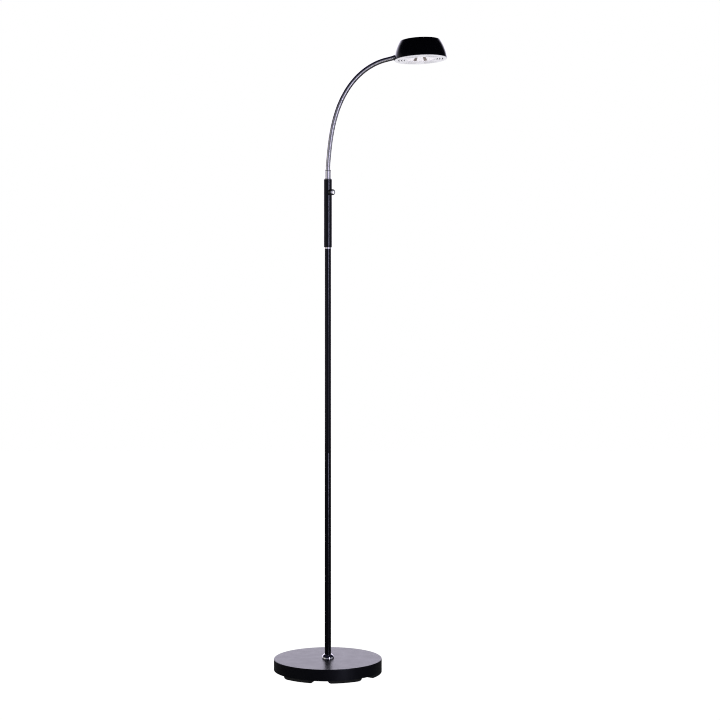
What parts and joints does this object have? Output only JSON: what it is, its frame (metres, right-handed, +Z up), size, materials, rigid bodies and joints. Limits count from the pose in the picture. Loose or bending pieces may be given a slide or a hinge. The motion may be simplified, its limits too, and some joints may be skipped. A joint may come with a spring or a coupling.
{
  "type": "adjustable arm floor lamp",
  "caption": "Floor reading lamp: round weighted base, slim pole with a grip sleeve and dimmer knob, flexible ribbed neck and a small domed LED head.",
  "frame": {"origin": "on the floor at the middle of the round base", "axes": "+Z up along the pole, +X the way the neck leans at rest, +Y the rear with the cable inlet"},
  "size_m": [0.3695, 0.2314, 1.3495],
  "materials": {
    "black_paint": "satin black powder coat",
    "black_plastic": "black moulded plastic",
    "cast_iron": "rough casting",
    "rubber": "matte black rubber",
    "steel": "zinc plated",
    "chrome": "bright chrome",
    "brass": "turned brass",
    "aluminium": "satin",
    "circuit_board": "solder mask",
    "led_board": "white solder mask",
    "led_phosphor": "yellow phosphor under clear silicone",
    "reflector": "metallised plastic",
    "clear_plastic": "clear moulded plastic",
    "white_plastic": "white moulded plastic",
    "lead_sheath": "pvc sheath"
  },
  "bodies": {
    "stand": {"base_cover": "black_paint", "base_weight": "cast_iron", "base_plate": "black_plastic", "foot_pad": "rubber", "base_screws": "steel", "cable_grommet": "rubber", "driver_case": "black_plastic", "driver_lid": "black_plastic", "driver_board": "circuit_board", "pole_nipple": "steel", "nipple_washer": "steel", "nipple_nut": "steel", "base_collar": "chrome", "lower_tube": "black_paint", "tube_coupler": "steel", "upper_tube": "black_paint", "pole_ring": "chrome", "sleeve_stud": "steel", "sleeve_base": "brass", "handle_sleeve": "black_paint", "sleeve_cap": "brass", "dimmer_body": "black_plastic", "dimmer_nut": "steel", "pole_lead": "lead_sheath", "dimmer_lead": "lead_sheath", "neck_ferrule": "chrome", "ferrule_nut": "steel", "neck_link_01": "chrome"},
    "dimmer": {"dimmer_shaft": "steel", "dimmer_knob": "black_plastic", "knob_cap": "chrome"},
    "neck_02": {"neck_link_02": "chrome"},
    "neck_03": {"neck_link_03": "chrome"},
    "neck_04": {"neck_link_04": "chrome"},
    "neck_05": {"neck_link_05": "chrome"},
    "neck_06": {"neck_link_06": "chrome"},
    "neck_07": {"neck_link_07": "chrome"},
    "neck_08": {"neck_link_08": "chrome"},
    "neck_09": {"neck_link_09": "chrome"},
    "neck_10": {"neck_link_10": "chrome"},
    "neck_11": {"neck_link_11": "chrome"},
    "neck_12": {"neck_link_12": "chrome"},
    "head": {"neck_link_13": "chrome", "neck_flange": "steel", "neck_socket": "aluminium", "head_shell": "black_paint", "heat_sink": "aluminium", "sink_screws": "steel", "led_board": "led_board", "board_screws": "steel", "led_emitter": "led_phosphor", "reflector": "reflector", "lens": "clear_plastic", "bezel_ring": "white_plastic", "head_lead": "lead_sheath"}
  },
  "joints": [
    {"name": "neck_lower_bend", "type": "hinge", "parent": "stand", "child": "neck_02", "pos_m": [0.0007, 0, 1.08798], "axis": [0, 1, 0], "range_deg": [-18, 12]},
    {"name": "neck_lower_sway", "type": "hinge", "parent": "neck_02", "child": "neck_03", "pos_m": [0.00299, 0, 1.11223], "axis": [-0.9945, 0, 0.1045], "range_deg": [-15, 15]},
    {"name": "neck_bend_03", "type": "hinge", "parent": "neck_03", "child": "neck_04", "pos_m": [0.00601, 0, 1.13639], "axis": [0, 1, 0], "range_deg": [-18, 12]},
    {"name": "neck_bend_04", "type": "hinge", "parent": "neck_04", "child": "neck_05", "pos_m": [0.01022, 0, 1.16038], "axis": [0, 1, 0], "range_deg": [-18, 12]},
    {"name": "neck_sway_05", "type": "hinge", "parent": "neck_05", "child": "neck_06", "pos_m": [0.01602, 0, 1.18402], "axis": [-0.9614, 0, 0.2751], "range_deg": [-15, 15]},
    {"name": "neck_bend_06", "type": "hinge", "parent": "neck_06", "child": "neck_07", "pos_m": [0.02381, 0, 1.20709], "axis": [0, 1, 0], "range_deg": [-18, 12]},
    {"name": "neck_upper_bend", "type": "hinge", "parent": "neck_07", "child": "neck_08", "pos_m": [0.03394, 0, 1.22922], "axis": [0, 1, 0], "range_deg": [-18, 12]},
    {"name": "neck_upper_sway", "type": "hinge", "parent": "neck_08", "child": "neck_09", "pos_m": [0.04668, 0, 1.24996], "axis": [-0.8162, 0, 0.5777], "range_deg": [-15, 15]},
    {"name": "neck_bend_09", "type": "hinge", "parent": "neck_09", "child": "neck_10", "pos_m": [0.06217, 0, 1.26872], "axis": [0, 1, 0], "range_deg": [-18, 12]},
    {"name": "neck_bend_10", "type": "hinge", "parent": "neck_10", "child": "neck_11", "pos_m": [0.08041, 0, 1.28482], "axis": [0, 1, 0], "range_deg": [-18, 12]},
    {"name": "neck_sway_11", "type": "hinge", "parent": "neck_11", "child": "neck_12", "pos_m": [0.10119, 0, 1.29746], "axis": [-0.4389, 0, 0.8985], "range_deg": [-15, 15]},
    {"name": "neck_bend_12", "type": "hinge", "parent": "neck_12", "child": "head", "pos_m": [0.124, 0, 1.30587], "axis": [0, 1, 0], "range_deg": [-18, 12]},
    {"name": "dimmer_turn", "type": "hinge", "parent": "stand", "child": "dimmer", "pos_m": [0, 0, 1.0225], "axis": [0.6157, -0.788, 0], "range_deg": [-150, 150]}
  ],
  "couplings": [
    {"joint": "neck_bend_03", "follows": "neck_lower_bend", "ratio": 1},
    {"joint": "neck_bend_04", "follows": "neck_lower_bend", "ratio": 1},
    {"joint": "neck_sway_05", "follows": "neck_lower_sway", "ratio": 1},
    {"joint": "neck_bend_06", "follows": "neck_lower_bend", "ratio": 1},
    {"joint": "neck_bend_09", "follows": "neck_upper_bend", "ratio": 1},
    {"joint": "neck_bend_10", "follows": "neck_upper_bend", "ratio": 1},
    {"joint": "neck_sway_11", "follows": "neck_upper_sway", "ratio": 1},
    {"joint": "neck_bend_12", "follows": "neck_upper_bend", "ratio": 1}
  ]
}
